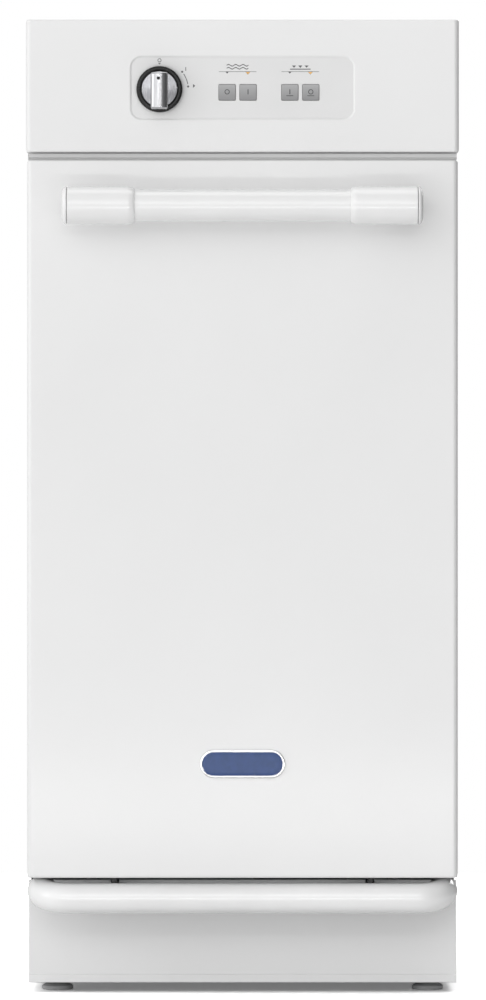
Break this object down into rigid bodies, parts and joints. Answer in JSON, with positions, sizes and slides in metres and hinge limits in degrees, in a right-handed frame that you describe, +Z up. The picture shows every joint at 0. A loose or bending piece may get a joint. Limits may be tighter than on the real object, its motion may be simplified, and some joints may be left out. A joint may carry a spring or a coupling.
{
  "type": "trash compactor",
  "caption": "Narrow white under-counter rubbish compactor: a console with a start knob and push buttons over a full-height pull-out drawer, with a bar handle and a foot pedal.",
  "frame": {"origin": "on the floor, under the middle of the machine's outer box", "axes": "+Z up, front towards -Y, +X to the right of someone who faces the front"},
  "size_m": [0.379, 0.634, 0.857],
  "materials": {
    "white_enamel": "satin",
    "white_plastic": "gloss",
    "overlay_plastic": "satin",
    "grey_button": "matte",
    "amber_lens": "gloss",
    "black_plastic": "satin",
    "black_steel": "satin",
    "satin_metal": "brushed",
    "badge_enamel": "gloss",
    "zinc_steel": "satin",
    "tub_plastic": "satin",
    "ram_enamel": "satin",
    "nylon": "satin",
    "motor_paint": "satin",
    "rubber": "matte",
    "charcoal": "matte"
  },
  "bodies": {
    "cabinet": {"side_panel_left": "white_enamel", "side_panel_right": "white_enamel", "top_panel": "white_enamel", "rear_panel": "zinc_steel", "cord_gland": "rubber", "front_rail": "white_enamel", "toe_panel": "white_enamel", "base_pan": "zinc_steel", "top_support": "zinc_steel", "console_front": "white_enamel", "control_overlay": "overlay_plastic", "switch_housing": "black_plastic", "filter_lamp": "amber_lens", "power_lamp": "amber_lens", "outer_rail_left": "zinc_steel", "outer_rail_right": "zinc_steel", "pedal_shaft": "zinc_steel", "pedal_spring": "zinc_steel", "drive_motor": "motor_paint", "drive_chain": "black_steel", "screw_bush_left": "nylon", "screw_bush_right": "nylon", "fan_frame": "black_plastic", "charcoal_filter": "charcoal"},
    "drawer": {"drawer_front": "white_enamel", "drawer_inner_panel": "zinc_steel", "drawer_tub": "tub_plastic", "bag_ring": "black_plastic", "inner_rail_left": "zinc_steel", "inner_rail_right": "zinc_steel", "handle_bar": "white_plastic", "handle_sleeve_left": "white_plastic", "handle_sleeve_right": "white_plastic", "handle_cap_left": "white_plastic", "handle_cap_right": "white_plastic", "badge": "badge_enamel"},
    "middle_rail_left": {"middle_rail_left": "zinc_steel"},
    "middle_rail_right": {"middle_rail_right": "zinc_steel"},
    "ram": {"ram_head": "ram_enamel", "ram_crosshead": "ram_enamel", "ram_nut_left": "nylon", "ram_nut_right": "nylon"},
    "power_screw_left": {"power_screw_left": "zinc_steel"},
    "power_screw_right": {"power_screw_right": "zinc_steel"},
    "drive_gear": {"drive_gear": "nylon"},
    "motor_pinion": {"motor_pinion": "zinc_steel"},
    "knob": {"knob_skirt": "black_plastic", "knob_grip": "satin_metal"},
    "pedal": {"foot_pedal": "white_plastic", "pedal_arm_left": "black_steel", "pedal_arm_right": "black_steel"},
    "fan_rotor": {"fan_rotor": "black_plastic"},
    "filter_off_button": {"filter_off_button": "grey_button"},
    "filter_on_button": {"filter_on_button": "grey_button"},
    "power_on_button": {"power_on_button": "grey_button"},
    "power_off_button": {"power_off_button": "grey_button"},
    "foot_front_left": {"foot_front_left": "zinc_steel"},
    "foot_front_right": {"foot_front_right": "zinc_steel"},
    "foot_rear_left": {"foot_rear_left": "zinc_steel"},
    "foot_rear_right": {"foot_rear_right": "zinc_steel"}
  },
  "joints": [
    {"name": "drawer_slide", "type": "slide", "parent": "cabinet", "child": "drawer", "axis": [0, -1, 0], "range_m": [0, 0.45]},
    {"name": "middle_rail_left_slide", "type": "slide", "parent": "cabinet", "child": "middle_rail_left", "axis": [0, -1, 0], "range_m": [0, 0.225]},
    {"name": "middle_rail_right_slide", "type": "slide", "parent": "cabinet", "child": "middle_rail_right", "axis": [0, -1, 0], "range_m": [0, 0.225]},
    {"name": "ram_slide", "type": "slide", "parent": "cabinet", "child": "ram", "axis": [0, 0, -1], "range_m": [0, 0.25]},
    {"name": "power_screw_left_spin", "type": "hinge", "parent": "cabinet", "child": "power_screw_left", "pos_m": [-0.15625, -0.015, 0.4], "axis": [0, 0, 1], "range_deg": [0, 9000]},
    {"name": "power_screw_right_spin", "type": "hinge", "parent": "cabinet", "child": "power_screw_right", "pos_m": [0.15625, -0.015, 0.4], "axis": [0, 0, 1], "range_deg": [0, 9000]},
    {"name": "drive_gear_spin", "type": "hinge", "parent": "cabinet", "child": "drive_gear", "pos_m": [0, 0.2295, 0.05], "axis": [0, 0, 1], "range_deg": [0, 9000]},
    {"name": "motor_pinion_spin", "type": "hinge", "parent": "cabinet", "child": "motor_pinion", "pos_m": [0.055, 0.25348, 0.05], "axis": [0, 0, 1], "range_deg": [-36000, 0]},
    {"name": "knob_turn", "type": "hinge", "parent": "cabinet", "child": "knob", "pos_m": [-0.0726, -0.2572, 0.7957], "axis": [0, 1, 0], "range_deg": [0, 84]},
    {"name": "pedal_press", "type": "hinge", "parent": "cabinet", "child": "pedal", "pos_m": [0, -0.168, 0.09], "axis": [1, 0, 0], "range_deg": [0, 12], "stiffness_Nm_per_rad": 3, "springref_deg": -17.19, "deforming": ["pedal_spring"]},
    {"name": "fan_spin", "type": "hinge", "parent": "cabinet", "child": "fan_rotor", "pos_m": [0, 0.30195, 0.708], "axis": [0, 1, 0], "continuous": true},
    {"name": "filter_off_button_press", "type": "slide", "parent": "cabinet", "child": "filter_off_button", "axis": [0, 1, 0], "range_m": [0, 0.0015], "stiffness_N_per_m": 300, "springref_m": -0.002},
    {"name": "filter_on_button_press", "type": "slide", "parent": "cabinet", "child": "filter_on_button", "axis": [0, 1, 0], "range_m": [0, 0.0015], "stiffness_N_per_m": 300, "springref_m": -0.002},
    {"name": "power_on_button_press", "type": "slide", "parent": "cabinet", "child": "power_on_button", "axis": [0, 1, 0], "range_m": [0, 0.0015], "stiffness_N_per_m": 300, "springref_m": -0.002},
    {"name": "power_off_button_press", "type": "slide", "parent": "cabinet", "child": "power_off_button", "axis": [0, 1, 0], "range_m": [0, 0.0015], "stiffness_N_per_m": 300, "springref_m": -0.002},
    {"name": "foot_front_left_level", "type": "slide", "parent": "cabinet", "child": "foot_front_left", "axis": [0, 0, 1], "range_m": [-0.019, 0]},
    {"name": "foot_front_right_level", "type": "slide", "parent": "cabinet", "child": "foot_front_right", "axis": [0, 0, 1], "range_m": [-0.019, 0]},
    {"name": "foot_rear_left_level", "type": "slide", "parent": "cabinet", "child": "foot_rear_left", "axis": [0, 0, 1], "range_m": [-0.019, 0]},
    {"name": "foot_rear_right_level", "type": "slide", "parent": "cabinet", "child": "foot_rear_right", "axis": [0, 0, 1], "range_m": [-0.019, 0]}
  ],
  "couplings": [
    {"joint": "middle_rail_left_slide", "follows": "drawer_slide", "ratio": 0.5},
    {"joint": "middle_rail_right_slide", "follows": "drawer_slide", "ratio": 0.5},
    {"joint": "power_screw_left_spin", "follows": "ram_slide", "rad_per_m": 628.32},
    {"joint": "power_screw_right_spin", "follows": "ram_slide", "rad_per_m": 628.32},
    {"joint": "drive_gear_spin", "follows": "ram_slide", "rad_per_m": 628.32},
    {"joint": "motor_pinion_spin", "follows": "ram_slide", "rad_per_m": -2513.3}
  ]
}
